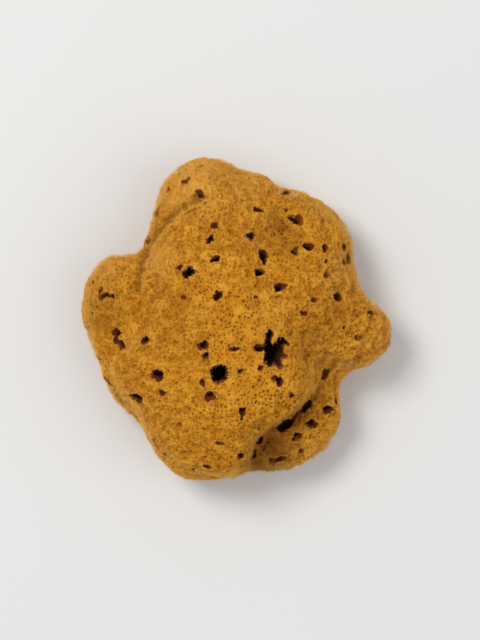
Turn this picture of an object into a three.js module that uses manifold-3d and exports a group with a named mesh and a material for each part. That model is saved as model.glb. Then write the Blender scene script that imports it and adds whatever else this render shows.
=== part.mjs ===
// A natural bath sponge, grown as one piece: a broad crown over a skirt of lobes, cut off flat where
// it sat on the rock. Millimetres, +Z up. It stands on its cut base at z = 0, and the origin is the
// middle of its footprint. The largest oscules, the mouths of its water channels, are open.
import * as THREE from "three";
import { mergeVertices } from "three/addons/utils/BufferGeometryUtils.js";
import Module from "manifold-3d";

// Driving dimensions.
const HEIGHT = 60; // cut base to the top of the crown
const SKIRT_TOP = 50; // general height of the lobes round the crown
const SKIRT_WAIST = 20; // height at which the skirt is widest
const SKIRT_WANDER = 3; // how far the skirt's waist climbs and dips on its way round
const CROWN_WAIST = 28; // height at which the crown is widest, where it melts into the skirt
const CROWN_ROOT = 16; // where the crown's underside is lost in the skirt
const OVERHANG = { way: -1.05, spread: 0.55, lift: 14 }; // where round the crown its rim stands clear
const BASE_SHARE = 0.84; // the cut base's spread, as a share of the outline
const WAVER = 1.1; // how far the surface wanders from its smooth form
const SIDES = 104; // facets round the skirt and round the crown, which share their meridians
const CHANNEL_SIDES = 10;

// The plan of the whole sponge at its widest, anticlockwise from the right-hand lobe.
const SKIRT_PLAN = [
  [68.3, -4], [65, 3.5], [58, 9.5], [53.3, 18.5], [51.5, 28], [50, 38], [42.8, 47.6], [33.5, 54.2],
  [23, 58], [17, 59.6], [14, 63.6], [3, 65.6], [-5, 69.3], [-14, 70.8], [-24.5, 66.8],
  [-32, 57.5], [-35.9, 49], [-37.6, 40.5], [-43.4, 29], [-52.5, 28.9], [-61.5, 23.6],
  [-66.6, 16], [-68.2, 4.5], [-66.8, -5.5], [-61.4, -18], [-56.8, -30], [-50, -39], [-42.8, -46.8],
  [-38, -55.5], [-31, -64], [-22.5, -70], [-11, -71.2], [-1.5, -70.8], [5, -66], [20, -67],
  [31.5, -64], [40.8, -56], [46.6, -44.5], [45.8, -33.8], [49.8, -23.6], [58, -21.4], [65.5, -15],
];

// The plan of the crown, which overhangs the skirt at the lower right and meets it elsewhere.
const CROWN_PLAN = [
  [34.5, 1], [32, 11], [24, 20], [17.5, 30], [13.5, 38], [8, 44], [-2, 46.5], [-13, 46.5],
  [-22.5, 44], [-30, 38.5], [-36, 30.5], [-39, 21], [-42, 12], [-45.5, 2], [-50, -8], [-55.5, -16],
  [-55.5, -27], [-48.5, -37], [-41, -44.5], [-36.5, -53], [-29.5, -61.5], [-21.5, -67.3],
  [-11, -68.8], [-2, -68.2], [4, -63.5], [6.5, -56], [10, -51], [16, -45.8], [23.5, -40.8],
  [31.5, -34], [34.5, -26], [33, -17.5], [34, -8],
];

// Lobes and hollows of the skirt: where, how far each spreads, and how much it rises or sinks.
const SKIRT_SWELLS = [
  { at: [-15, 56], reach: 16, rise: 4 },
  { at: [9, 62], reach: 7, rise: -4 },
  { at: [36, 41], reach: 16, rise: 4 },
  { at: [19, 37], reach: 7, rise: -4 },
  { at: [29, 14], reach: 15, rise: 8 },
  { at: [56, -6], reach: 12, rise: -4 },
  { at: [31, -50], reach: 17, rise: -16 },
  { at: [41, -27], reach: 9, rise: -10 },
  { at: [-56, 8], reach: 14, rise: -3 },
  { at: [-41, 31], reach: 8, rise: -7 },
];

// Swells of the crown's own top.
const CROWN_SWELLS = [
  { at: [-16, 24], reach: 16, rise: 1 },
  { at: [-6, -32], reach: 16, rise: 1 },
  { at: [27, 8], reach: 13, rise: -3 },
  { at: [-8, 45], reach: 12, rise: -2 },
  { at: [-40, 0], reach: 12, rise: -4 },
  { at: [-22, -51], reach: 9, rise: -4 },
  { at: [-4, -55], reach: 8, rise: -3 },
  { at: [-14, -64], reach: 12, rise: -4 },
];

// The largest oscules: centre, widths across their two axes, turn of the first axis, depth.
const OSCULES = [
  { at: [-6.7, -23.1], across: [8.2, 8], turn: 0, depth: 34 },
  { at: [16.6, -16], across: [8.4, 10.5], turn: -20, depth: 32 },
  { at: [14.6, -9.2], across: [4, 7.5], turn: 15, depth: 20 },
  { at: [-20.5, 19.6], across: [5.2, 5], turn: 30, depth: 24 },
  { at: [-32.9, -24.1], across: [5.2, 4.8], turn: 0, depth: 20 },
  { at: [-42.6, -34], across: [6, 4.8], turn: 40, depth: 18 },
  { at: [24.9, 42], across: [5.2, 4.4], turn: -30, depth: 14 },
  { at: [43.4, 9.2], across: [4.6, 4.4], turn: 0, depth: 14 },
  { at: [-51.2, -9.2], across: [3.4, 7], turn: 15, depth: 16 },
];

// Channels that the cut has opened in the base: centre, width and height.
const BASE_CHANNELS = [
  { at: [24, 30], across: 8, depth: 15 },
  { at: [-31, 9], across: 9.5, depth: 17 },
  { at: [-9, 41], across: 6.5, depth: 13 },
  { at: [13, -36], across: 10, depth: 18 },
  { at: [-30, -36], across: 7, depth: 13 },
  { at: [38, -2], across: 7.5, depth: 13 },
];
const HEART = new THREE.Vector3(-4, -2, -30); // every channel from above leans towards this point

// Half-profiles, as [share of the plan, share of the height], from the top axis to the bottom one.
const TOP_SHARES = [
  [0, 1], [0.12, 0.998], [0.24, 0.99], [0.36, 0.975], [0.48, 0.95], [0.6, 0.91], [0.71, 0.85],
  [0.8, 0.765], [0.88, 0.64], [0.94, 0.48], [0.98, 0.28], [1, 0],
];
const SIDE_SHARES = [[0.99, -0.3], [0.955, -0.62], [0.905, -0.86], [BASE_SHARE, -1], [0, -1]];
const UNDERCUT_SHARES = [[0.975, -0.2], [0.92, -0.42], [0.83, -0.66], [0.7, -1], [0, -1]];

// Smooth irregularity from -1 to 1, with no repeat inside the sponge.
function waver(x, y, z) {
  const long = Math.sin(0.17 * x + 0.11 * y + 0.9) * Math.cos(0.15 * y - 0.13 * z + 0.4);
  const short = Math.sin(0.31 * y + 0.23 * z - 0.19 * x + 2.1) * Math.cos(0.34 * x + 0.12 * z);
  return 0.6 * long + 0.4 * short;
}

function swellAt(swells, x, y) {
  return swells.reduce((sum, { at, reach, rise }) => {
    const away = Math.hypot(x - at[0], y - at[1]) / reach;
    return sum + rise * Math.exp(-away * away);
  }, 0);
}

// Distance from the origin to a closed plan curve, by direction.
function planReach(points) {
  const samples = 1440;
  const curve = new THREE.CatmullRomCurve3(
    points.map(([x, y]) => new THREE.Vector3(x, y, 0)), true, "centripetal",
  );
  const turns = curve.getPoints(samples).map((p) => [Math.atan2(p.y, p.x), Math.hypot(p.x, p.y)]);
  turns.sort((a, b) => a[0] - b[0]);
  const wrapped = [
    [turns.at(-1)[0] - 2 * Math.PI, turns.at(-1)[1]], ...turns, [turns[0][0] + 2 * Math.PI, turns[0][1]],
  ];
  return (angle) => {
    const next = wrapped.findIndex(([a]) => a >= angle);
    const [a1, r1] = wrapped[next];
    const [a0, r0] = wrapped[Math.max(next - 1, 0)];
    return a1 === a0 ? r1 : r0 + ((r1 - r0) * (angle - a0)) / (a1 - a0);
  };
}

// A turned cushion pulled out to its plan and raised to its swells.
function cushion({ plan, top, waist, bottom, lower, swells }) {
  const profile = [...TOP_SHARES, ...lower].map(([r, h]) => new THREE.Vector2(r, h));
  const form = new THREE.LatheGeometry(profile.reverse(), SIDES).rotateX(Math.PI / 2);
  const reach = planReach(plan);
  const spots = form.getAttribute("position");
  for (let i = 0; i < spots.count; i++) {
    const share = Math.hypot(spots.getX(i), spots.getY(i));
    const level = spots.getZ(i);
    const angle = Math.atan2(spots.getY(i), spots.getX(i));
    const r = share > 1e-6 ? share * reach(angle) : 0;
    const x = r * Math.cos(angle);
    const y = r * Math.sin(angle);
    const crest = top + swellAt(swells, x, y);
    const belt = waist(angle);
    const z = level > 0 ? belt + (crest - belt) * level : belt + (belt - bottom) * level;
    const loose = level > -1 ? WAVER * waver(x, y, z) : 0;
    const outward = share > 0.6 ? 1 + (loose * 1.2) / Math.max(r, 1) : 1;
    spots.setXYZ(i, x * outward, y * outward, z + (level > 0 ? loose : 0));
  }
  return form;
}

// A tapering channel with a round end, its mouth at the origin and its length along -Z.
function channel(across, depth) {
  const flare = 2.5; // the mouth's stretch outside the surface
  const profile = [
    [0, -1], [0.34, -0.97], [0.52, -0.85], [0.66, -0.6], [0.8, -0.3], [0.94, -0.06], [1.12, 0.06],
  ].map(([r, h]) => new THREE.Vector2(r, h * depth));
  profile.push(new THREE.Vector2(1.3, flare + 0.06 * depth), new THREE.Vector2(0, flare + 0.06 * depth));
  return new THREE.LatheGeometry(profile, CHANNEL_SIDES)
    .rotateX(Math.PI / 2)
    .scale(across[0] / 2, across[1] / 2, 1);
}

const wasm = await Module();
wasm.setup();

function solid(geometry) {
  const bare = geometry.clone();
  bare.deleteAttribute("normal");
  bare.deleteAttribute("uv");
  const merged = mergeVertices(bare, 1e-3);
  return new wasm.Manifold(new wasm.Mesh({
    numProp: 3,
    vertProperties: merged.getAttribute("position").array,
    triVerts: new Uint32Array(merged.index.array),
  }));
}

function geometryOf(made) {
  const { vertProperties, triVerts } = made.getMesh();
  const geometry = new THREE.BufferGeometry();
  geometry.setAttribute("position", new THREE.BufferAttribute(vertProperties, 3));
  geometry.setIndex(new THREE.BufferAttribute(triVerts, 1));
  geometry.computeVertexNormals();
  return geometry;
}

// Where a downward line at x, y meets the grown form.
function surfaceHeight(mesh, x, y) {
  const ray = new THREE.Raycaster(new THREE.Vector3(x, y, 2 * HEIGHT), new THREE.Vector3(0, 0, -1));
  return ray.intersectObject(mesh)[0].point.z;
}

function osculeCutter(mesh, { at, across, turn, depth }) {
  const mouth = new THREE.Vector3(at[0], at[1], surfaceHeight(mesh, ...at));
  const outward = mouth.clone().sub(HEART).normalize();
  return channel(across, depth)
    .rotateZ(THREE.MathUtils.degToRad(turn))
    .applyQuaternion(new THREE.Quaternion().setFromUnitVectors(new THREE.Vector3(0, 0, 1), outward))
    .translate(mouth.x, mouth.y, mouth.z);
}

function baseCutter({ at, across, depth }) {
  return channel([across, across * 0.8], depth).rotateX(Math.PI).translate(at[0], at[1], 0);
}

function skirtWaist(angle) {
  return SKIRT_WAIST + SKIRT_WANDER * Math.sin(3 * angle + 1);
}

function crownWaist(angle) {
  const away = (angle - OVERHANG.way) / OVERHANG.spread;
  return CROWN_WAIST + OVERHANG.lift * Math.exp(-away * away);
}

function grownForm() {
  const skirt = cushion({
    plan: SKIRT_PLAN, top: SKIRT_TOP, waist: skirtWaist, bottom: 0, lower: SIDE_SHARES,
    swells: SKIRT_SWELLS,
  });
  const crown = cushion({
    plan: CROWN_PLAN, top: HEIGHT - WAVER, waist: crownWaist, bottom: CROWN_ROOT,
    lower: UNDERCUT_SHARES, swells: CROWN_SWELLS,
  });
  return solid(skirt).add(solid(crown));
}

function makeSponge() {
  const whole = grownForm();
  const probe = new THREE.Mesh(geometryOf(whole), new THREE.MeshBasicMaterial());
  const cutters = [
    ...OSCULES.map((oscule) => osculeCutter(probe, oscule)),
    ...BASE_CHANNELS.map(baseCutter),
  ];
  const opened = cutters.reduce((rest, cutter) => rest.subtract(solid(cutter)), whole);
  const finish = new THREE.MeshStandardMaterial({ color: 0xb9812f, roughness: 0.95, metalness: 0 });
  const sponge = new THREE.Mesh(geometryOf(opened), finish);
  sponge.name = "sponge";
  const middle = new THREE.Box3().setFromObject(sponge).getCenter(new THREE.Vector3());
  sponge.position.set(-middle.x, -middle.y, 0);
  return sponge;
}

const part = new THREE.Group();
part.add(makeSponge());
export default part;
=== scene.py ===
"""A natural bath sponge on a pale floor.

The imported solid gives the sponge's grown form. This script takes a copy of it, carves the oscules and
hollows that the solid leaves out, opens the fine pores, and covers the pore walls with short fibres.
Sizes in the constants are millimetres; Blender works in metres.
"""

import math

import bmesh
import bpy
import numpy as np
from mathutils import Matrix, Vector
from mathutils.bvhtree import BVHTree


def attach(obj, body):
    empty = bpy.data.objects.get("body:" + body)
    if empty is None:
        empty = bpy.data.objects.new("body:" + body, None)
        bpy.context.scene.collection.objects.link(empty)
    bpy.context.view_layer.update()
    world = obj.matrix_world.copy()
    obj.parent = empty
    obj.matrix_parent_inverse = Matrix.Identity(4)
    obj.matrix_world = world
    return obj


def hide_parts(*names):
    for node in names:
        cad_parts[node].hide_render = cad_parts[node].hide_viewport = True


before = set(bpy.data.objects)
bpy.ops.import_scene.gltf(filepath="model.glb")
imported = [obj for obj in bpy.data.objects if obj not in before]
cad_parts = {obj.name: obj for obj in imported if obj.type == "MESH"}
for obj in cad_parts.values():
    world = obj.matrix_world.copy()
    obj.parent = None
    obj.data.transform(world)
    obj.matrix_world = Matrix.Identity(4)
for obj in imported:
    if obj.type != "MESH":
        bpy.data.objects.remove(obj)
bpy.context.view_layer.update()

MM = 0.001
FORM_CELL = 0.8  # mesh cell of the smooth grown form
CUTTER_CELL = 0.4  # mesh cell of the lumps that are taken out of it
BODY_CELL = 0.45  # mesh cell of the carved body, before its pores
BODY_TRIANGLES = 196000
PORE_PITCH = 1.58
PORE_WALL = 0.19  # from the middle of a pore's wall to its edge
PORE_WARP = 0.4
DEEP = 8  # a channel this deep has a fringe at its rim, and a deeper one is filled before it is cut anew
FLAT_BASE = 0.4  # what lies lower than this is pressed flat on the floor
SEED = 11
ROUND = 6.28  # a full turn, for random phases
ABOVE = 120  # rays towards the skin start this far out
HEART = Vector((-4, -2, -30)) * MM  # every channel from above leans towards this point

WAVES = {  # how fine each noise of the skin is, in waves to the metre
    "drift": 45.0, "patches": 48.0, "bright": 150.0, "comb": 260.0, "clumps": 270.0, "warp": 520.0,
    "gaps": 760.0, "strands": 1100.0, "grain": 1300.0, "felt": 1900.0,
}
COLOURS = {  # red, green and blue, from 0 to 255
    # the colours of the gaps, the pores, the channel mouths and depths, the hollows between clumps and fibres
    # in gaps are painted shade
    "gold": (200, 130, 24), "amber": (208, 142, 38), "bright gold": (228, 166, 50),
    # the pale fuzz colour also paints a sheen on the steep sides and a highlight on fold lips, and pale straw
    # a sheen on upright fibres
    "painted shade between clumps": (160, 94, 10), "grain": (228, 170, 70), "down_and_sheen": (230, 174, 76),
    # the stains' brown also paints shade in dents, dips and at the foot of each fold
    "pale straw": (246, 212, 142), "stain_and_shade": (96, 50, 20), "gap": (158, 98, 12),
    "painted shade of fibres in gaps": (164, 102, 14), "pore": (126, 64, 4), "mouth": (108, 46, 14),
    "painted shade deep in channels": (74, 38, 22), "strand": (132, 68, 20),
    "body sheen": (250, 206, 130), "fibre sheen": (252, 220, 160),
    "floor": (226, 226, 224), "floor cloud": (232, 232, 231),
}

# Zones on the plan: x, y, reach, strength from 0 to 1.
MELTED = [  # where the crown flows into the lobes beside it
    (27, 18, 17, 1), (30, 2, 10, 0.8), (-6, 47, 11, 0.7), (-47, -12, 15, 0.8), (-34, -52, 14, 0.8),
    (8, 46, 10, 0.9), (-44, 8, 9, 0.4), (-52, -28, 9, 0.9), (-43, -41, 9, 0.9), (-27, -62, 9, 0.9),
]
CRISP = [  # where the small pores stand open and clear
    (0, -3, 17, 1), (8, -33, 17, 1), (-12, 12, 13, 0.7), (-25, -28, 12, 0.55), (12, 22, 10, 0.5),
    (-14, -42, 12, 0.7), (28, 32, 13, 0.7), (-56, 6, 10, 0.6), (27, -53, 13, 0.5), (19, 36, 8, 0.9),
    (15, -57, 7, 0.7), (-50, -10, 9, 0.5), (-60, -8, 8, 0.4),
]
DOWNY = [  # where a close, pale fuzz almost hides the pores
    (-19, 61, 16, 1), (48, 24, 9, 0.7), (40, 49, 9, 0.7), (-33, 25, 8, 0.7), (62, -8, 8, 0.5),
    (-58, 20, 8, 0.6), (36, -58, 9, 0.6), (3, 58, 8, 0.6),
]
STAINS_AND_SHADE = [  # browner patches: partly the sponge's own stains, partly painted shade in its dents and dips
    (18.5, 38, 6.8, 0.66), (22.5, 31, 5.8, 0.56), (16, -56, 9.5, 1), (10, -62, 6, 0.7), (26, -42, 7, 0.5),
    (-56, 4, 10, 0.38), (31, -8, 9, 0.35), (-24, 2, 12, 0.2), (40, 3, 8, 0.25),
]

# Oscules seen from above: x, y, half-widths, turn of the first in degrees, depth.
OSCULES = [
    (-6.7, -23.1, 4.0, 4.0, 0, 30), (16.4, -15.6, 4.3, 5.1, -12, 26), (13.9, -7.8, 1.6, 3.6, 4, 17),
    (20.2, -9.6, 1.5, 2.8, -52, 15), (10.4, -12.4, 2.6, 1.4, -10, 12),
    (14.2, -12.2, 2.0, 1.7, 0, 15), (-20.5, 19.6, 2.5, 2.4, 30, 18),
    (-24, 21.8, 1.6, 0.8, -35, 5), (-32.9, -24.1, 2.6, 2.4, 0, 15), (-42.4, -33.9, 3.1, 2.4, -30, 14),
    (-51.8, -7.4, 1.5, 3.6, 15, 10), (-49.4, -11, 2.3, 1.4, 20, 9), (-56.4, 9.6, 2.2, 1.4, -30, 4),
    (-58.2, 12.2, 1.1, 1.0, 0, 3), (-54, 9.8, 1.4, 1.2, 0, 4), (19, -26.8, 1.4, 2.0, 0, 11),
    (16.4, -24.9, 1.3, 1.1, 20, 3), (-11.1, -32.2, 2.2, 1.6, 40, 5), (-12, -34, 1, 1.6, 0, 4),
    (2.7, -39.2, 1.7, 1.9, 0, 6), (2.4, -41.8, 0.9, 1.3, 0, 5), (-14.1, -11, 1.6, 1.9, 20, 6),
    (-13.1, -15.5, 1.1, 1.1, 0, 6), (-0.6, -13.3, 2.0, 1.0, 0, 7), (-38.3, -9.2, 1.6, 1.2, 0, 7),
    (-7.7, 9.7, 2.0, 1.9, 0, 5), (-8.7, 25, 2.5, 1.4, -35, 6), (-10.7, 33.9, 1.6, 2.2, 0, 7),
    (-9.2, 39.7, 1.2, 1.5, 0, 5), (5.9, 34.9, 2.0, 1.7, -10, 7), (9.6, 46.4, 2.3, 1.3, 15, 6),
    (11.6, 26.5, 1.9, 3.9, -6, 8), (9.8, 19.6, 2.0, 1.8, 20, 8), (18.5, 13.2, 2.3, 1.6, -20, 8),
    (8.1, 9.2, 1.0, 0.9, 0, 4), (25.2, 42.1, 2.8, 2.0, -15, 9), (30.3, 30.4, 3.0, 1.5, -8, 7),
    (37.7, 30.2, 1.2, 2.0, -15, 6), (46.6, 30.2, 1.9, 1.6, 0, 3), (38.2, 24.6, 1.3, 1.2, 0, 4),
    (43.4, 9.2, 2.3, 2.2, 30, 9), (57.4, 2.3, 1.7, 1.5, 0, 3), (39.2, -24.3, 2.2, 3.1, 0, 7),
    (39.2, -39.2, 2.4, 1.5, -20, 7), (32.8, -45.8, 2.3, 1.9, 10, 9), (26.2, -51, 2.9, 1.1, -12, 8),
    (27.8, -57.9, 1.1, 1.0, 0, 4), (18.5, -60.4, 3.0, 1.0, 5, 5), (2.2, -58.9, 1.3, 2.0, 0, 6),
    (-6.7, -53, 2.0, 1.1, 0, 4), (-21.5, 58.9, 2.2, 1.2, -20, 5), (-15.3, 52.7, 1.4, 1.2, 0, 5),
    (-28.2, 41.6, 1.3, 1.0, 40, 5), (24.4, -32.9, 1.4, 1.1, 0, 5), (10.1, -20.6, 1.0, 1.0, 0, 5),
    (1.7, -22.4, 1.0, 0.8, 30, 5), (-14.1, -27.4, 1.1, 1.0, 0, 5), (21.6, 46.6, 1.6, 1.1, -20, 3),
    (25, 28.4, 1.5, 1.8, 0, 5), (31.5, 46.5, 1.0, 0.8, 0, 3), (-31, -32.2, 1.0, 1.3, 0, 3),
    (-62, 2.5, 1.0, 1.2, 0, 4), (-66, -3, 1.3, 1.0, 0, 4), (-22, 9, 0.9, 0.8, 0, 3),
    (38.5, 17.5, 1.3, 1.1, 0, 3), (46.5, 24, 1.2, 1.2, 0, 3), (-24, -45, 1.1, 0.9, 0, 3),
    (8, -50, 1.0, 1.0, 0, 3), (-13, -63, 1.9, 1.2, 10, 3), (-19, -64, 1.3, 1.0, 0, 3),
    (-30, -58, 1.2, 1.0, 0, 3), (44, -36, 1.3, 1.4, 0, 4), (52, -8, 1.4, 1.1, 0, 3),
    (28.5, 2, 1.4, 1.1, 0, 3), (33, 8, 1.2, 1.0, 0, 3), (46, -4, 1.2, 1.0, 0, 3),
]
# Dark pockets under the crown's overhang: x, y, height, half-widths along x, y and z, turn in degrees.
POCKETS = [
    (29.9, -37.8, 30, 3.2, 1.6, 7, 50), (20.9, -45.8, 29, 4.4, 1.9, 8, 33), (18.5, -60.3, 29, 3.2, 0.9, 3, 8),
    (10.3, -51.8, 30, 2.4, 0.8, 5, 52), (7.6, -57.6, 30, 0.8, 2.4, 5, -12), (25.4, -42, 30, 2.6, 0.9, 5, 45),
]
# Folds where the crown lies over what is beside it: how far the low side sinks, how wide the dip is, how far
# the lip is raised, how much painted shade browns the foot of the fold, then points (x, y) with the low side
# on the left.
FOLDS = [
    (5.5, 5.0, 5.5, 0.4, [
        (36, -27), (33.4, -32), (29.8, -36.4), (25.3, -40.6), (20.4, -44), (15, -46.8), (11, -50.2),
        (8.2, -54.6), (6.9, -58.6), (6.3, -62), (5.8, -68),
    ]),
    (3.0, 1.9, 1.0, 0.5, [
        (-41, 9), (-40.3, 17), (-39.6, 23), (-37.3, 29.6), (-33.2, 35.5), (-28.8, 41.2), (-24.4, 45.4),
        (-17, 49.5), (-10, 51.5),
    ]),
]
DENTS = [  # soft hollows: x, y, reach, depth
    (19, 36, 6.5, 2.6), (15, -55, 6, 1.5), (-47, 14, 7, 1.5), (32, 12, 6, 1.2), (-51, -8, 4, 1.5),
    (44, -2, 6, 1.0),
]
# Small bites out of the outline: direction in degrees, height, half-widths across and upwards.
BITES = [
    (184.5, 24, 1.6, 3), (197, 26, 2.6, 4), (138.5, 26, 1.8, 4), (126, 30, 2.2, 5), (68, 30, 2.4, 7),
    (118, 34, 1.3, 3),
]
# Oscules on the sides: direction in degrees, height, half-width, depth.
SIDE_OSCULES = [
    (8, 22, 1.9, 10), (28, 30, 2.6, 12), (44, 16, 1.7, 8), (63, 27, 2.2, 10), (84, 19, 2.9, 14),
    (103, 32, 1.8, 8), (121, 15, 2.2, 9), (150, 17, 2.6, 12), (166, 30, 1.7, 8), (187, 13, 2.3, 10),
    (206, 27, 3.0, 14), (221, 16, 1.8, 8), (238, 34, 2.0, 9), (252, 20, 2.7, 13), (269, 12, 1.8, 8),
    (284, 31, 1.6, 7), (298, 18, 2.6, 12), (318, 24, 1.8, 8), (337, 14, 2.3, 10), (350, 28, 1.7, 8),
]


# ---------------------------------------------------------------- small helpers
def new_object(name, mesh):
    made = bpy.data.objects.new(name, mesh)
    bpy.context.scene.collection.objects.link(made)
    return made


def drop(*objects):
    for thing in objects:
        bpy.data.objects.remove(thing)


def evaluated_mesh(thing):
    """The plain mesh that an object's modifiers make."""
    graph = bpy.context.evaluated_depsgraph_get()
    return bpy.data.meshes.new_from_object(
        thing.evaluated_get(graph), preserve_all_data_layers=True, depsgraph=graph)


def settle(thing):
    """Turns an object's modifiers into its plain mesh."""
    made = evaluated_mesh(thing)
    thing.modifiers.clear()
    thing.data = made
    return thing


def remesh(thing, cell):
    """Makes an object's mesh anew from cubic cells, as one closed skin."""
    step = thing.modifiers.new("cells", "REMESH")
    step.mode = "VOXEL"
    step.voxel_size = cell * MM
    step.adaptivity = 0
    return settle(thing)


def places(mesh):
    """The places of all vertices, one to a row."""
    found = np.empty(len(mesh.vertices) * 3, np.float32)
    mesh.vertices.foreach_get("co", found)
    return found.reshape(-1, 3).astype(float)


def move_to(mesh, spots):
    mesh.vertices.foreach_set("co", spots.astype(np.float32).ravel())
    mesh.update()


def normals(mesh):
    found = np.empty(len(mesh.vertices) * 3, np.float32)
    mesh.vertex_normals.foreach_get("vector", found)
    return found.reshape(-1, 3).astype(float)


def edge_ends(mesh):
    """The vertex numbers at the two ends of every edge, as two rows."""
    ends = np.empty(len(mesh.edges) * 2, np.int32)
    mesh.edges.foreach_get("vertices", ends)
    return ends.reshape(-1, 2).T


def values_of(mesh, name):
    found = np.empty(len(mesh.vertices), np.float32)
    mesh.attributes[name].data.foreach_get("value", found)
    return found


def set_values(mesh, name, values):
    layer = mesh.attributes.new(name, "FLOAT", "POINT")
    layer.data.foreach_set("value", values.astype(np.float32))


def smooth_step(low, high, x):
    """Rises from 0 at low to 1 at high, with soft ends."""
    t = np.clip((x - low) / (high - low), 0, 1)
    return t * t * (3 - 2 * t)


def zone_weight(spots, zones):
    """How far each point lies in any of the zones, from 0 to 1, by its place on the plan."""
    weight = np.zeros(len(spots))
    for x, y, reach, strength in zones:
        away = np.hypot(spots[:, 0] / MM - x, spots[:, 1] / MM - y) / reach
        weight = np.maximum(weight, strength * np.exp(-away ** 2))
    return weight


def relax(mesh, rounds, weight):
    """Moves each point towards the middle of its neighbours, by its weight."""
    a, b = edge_ends(mesh)
    count = len(mesh.vertices)
    links = (np.bincount(a, minlength=count) + np.bincount(b, minlength=count))[:, None]
    spots = places(mesh)
    for _ in range(rounds):
        total = np.stack([
            np.bincount(a, spots[b, k], count) + np.bincount(b, spots[a, k], count) for k in range(3)
        ], axis=1)
        spots += (total / links - spots) * weight[:, None]
    move_to(mesh, spots)


# ---------------------------------------------------------------- building node trees
def node(tree, kind, inputs=None, **settings):
    """A new node. Each input is given a value, or is linked to another node's output."""
    made = tree.nodes.new(kind)
    for name, value in settings.items():
        setattr(made, name, value)
    for socket, value in (inputs or {}).items():
        if isinstance(value, bpy.types.NodeSocket):
            tree.links.new(value, made.inputs[socket])
        else:
            made.inputs[socket].default_value = value
    return made


def maths(tree, operation, *values, clamp=False):
    made = node(tree, "ShaderNodeMath", dict(enumerate(values)), operation=operation, use_clamp=clamp)
    return made.outputs[0]


def vectors(tree, operation, *values):
    made = node(tree, "ShaderNodeVectorMath", operation=operation)
    for slot, value in enumerate(values):
        socket = made.inputs["Scale"] if operation == "SCALE" and slot == 1 else made.inputs[slot]
        if isinstance(value, bpy.types.NodeSocket):
            tree.links.new(value, socket)
        else:
            socket.default_value = value
    return made.outputs["Value" if operation in ("DOT_PRODUCT", "LENGTH", "DISTANCE") else "Vector"]


def noise(tree, spot, waves, detail, variant=None):
    """The outputs of a noise with so many waves to the metre. Each variant is another noise of the kind."""
    values = {"Vector": spot, "Scale": waves, "Detail": detail}
    if variant is None:
        return node(tree, "ShaderNodeTexNoise", values).outputs
    return node(tree, "ShaderNodeTexNoise", {**values, "W": variant}, noise_dimensions="4D").outputs


def part_of(tree, vector, axis):
    return node(tree, "ShaderNodeSeparateXYZ", {0: vector}).outputs["XYZ".index(axis)]


def shifted(tree, geometry, offset):
    return node(tree, "GeometryNodeSetPosition", {"Geometry": geometry, "Offset": offset}).outputs[0]


def ramped(tree, value, from_low, from_high, to_low=0.0, to_high=1.0, shape="SMOOTHSTEP"):
    """Turns a value's range into another one, with soft ends unless the shape is LINEAR."""
    made = node(tree, "ShaderNodeMapRange", {
        "Value": value, "From Min": from_low, "From Max": from_high, "To Min": to_low, "To Max": to_high,
    }, interpolation_type=shape)
    return made.outputs["Result"]


def open_tree(name, sizes, counts=()):
    """A geometry tree with a Geometry socket each way and named inputs for its sizes, counts and finish."""
    tree = bpy.data.node_groups.new(name, "GeometryNodeTree")
    tree.is_modifier = True
    tree.interface.new_socket("Geometry", in_out="INPUT", socket_type="NodeSocketGeometry")
    for label in sizes:
        tree.interface.new_socket(label, in_out="INPUT", socket_type="NodeSocketFloat")
    for label in counts:
        tree.interface.new_socket(label, in_out="INPUT", socket_type="NodeSocketInt")
    tree.interface.new_socket("Material", in_out="INPUT", socket_type="NodeSocketMaterial")
    tree.interface.new_socket("Geometry", in_out="OUTPUT", socket_type="NodeSocketGeometry")
    return tree, tree.nodes.new("NodeGroupInput").outputs


def close_tree(tree, geometry, finish):
    """Every tree ends in Realize Instances and Set Material."""
    real = node(tree, "GeometryNodeRealizeInstances", {"Geometry": geometry})
    done = node(tree, "GeometryNodeSetMaterial", {"Geometry": real.outputs[0], "Material": finish})
    node(tree, "NodeGroupOutput", {"Geometry": done.outputs[0]})
    return tree


def grow(thing, tree, sizes):
    """The plain mesh that a tree makes of an object, with the tree's inputs set by their identifiers."""
    step = thing.modifiers.new(tree.name, "NODES")
    step.node_group = tree
    for item in tree.interface.items_tree:
        if item.item_type == "SOCKET" and item.in_out == "INPUT" and item.name in sizes:
            step[item.identifier] = sizes[item.name]
    made = evaluated_mesh(thing)
    thing.modifiers.remove(step)
    return made


def named(tree, attribute, kind="FLOAT"):
    """A stored value of the mesh, read in a geometry tree."""
    return node(tree, "GeometryNodeInputNamedAttribute", {"Name": attribute}, data_type=kind).outputs[0]


def stored(tree, geometry, attribute, value, kind="FLOAT"):
    """The same geometry with a value stored on its points under a name."""
    made = node(tree, "GeometryNodeStoreNamedAttribute", {
        "Geometry": geometry, "Name": attribute, "Value": value,
    }, data_type=kind, domain="POINT")
    return made.outputs[0]


# ---------------------------------------------------------------- the grown form
def swelling_tree():
    """Draws the surface in from its envelope, more in the hollows of a broad relief. The base stays flat."""
    tree, given = open_tree("swelling", ("Inset", "Swell", "Swell Size", "Base Edge"))
    spot = node(tree, "GeometryNodeInputPosition").outputs[0]
    out = node(tree, "GeometryNodeInputNormal").outputs[0]
    relief = noise(tree, spot, maths(tree, "DIVIDE", 1.0, given["Swell Size"]), 2.0, variant=2.0)[0]
    depth = maths(tree, "MULTIPLY", ramped(tree, relief, 0.3, 0.7), given["Swell"])
    depth = maths(tree, "ADD", depth, given["Inset"])
    offset = vectors(tree, "SCALE", out, maths(tree, "MULTIPLY", depth, -1.0))
    level = part_of(tree, spot, "Z")
    free = ramped(tree, level, maths(tree, "MULTIPLY", given["Base Edge"], 0.2), given["Base Edge"])
    share = node(tree, "ShaderNodeCombineXYZ", {0: 1.0, 1: 1.0, 2: free}).outputs[0]
    offset = vectors(tree, "MULTIPLY", offset, share)
    moved = shifted(tree, given["Geometry"], offset)
    return close_tree(tree, moved, given["Material"])


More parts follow.
